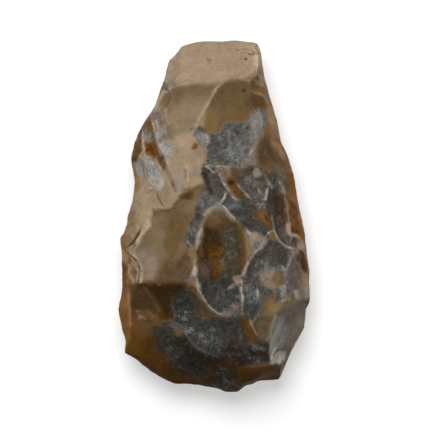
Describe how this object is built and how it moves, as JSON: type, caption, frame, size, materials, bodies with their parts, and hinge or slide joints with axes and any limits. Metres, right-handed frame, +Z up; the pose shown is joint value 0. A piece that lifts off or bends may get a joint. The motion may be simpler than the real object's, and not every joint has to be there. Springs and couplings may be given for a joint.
{
  "type": "flint side scraper",
  "caption": "Chunky knapped flint scraper with a blunt tip, broad heel, faceted back and trimmed edge, lying on its underside.",
  "frame": {"origin": "centre of the bounding box's base, on the surface that the tool lies on", "axes": "+Y along the tool towards its tip, +Z up out of the worked back, +X to the right with the tip away"},
  "size_m": [0.06, 0.11, 0.03],
  "materials": {
    "flint": "mottled grey, tan and brown flint with a soft waxy sheen, pale veins and rusty stains"
  },
  "bodies": {
    "root": {"side_scraper": "flint"}
  },
  "joints": []
}
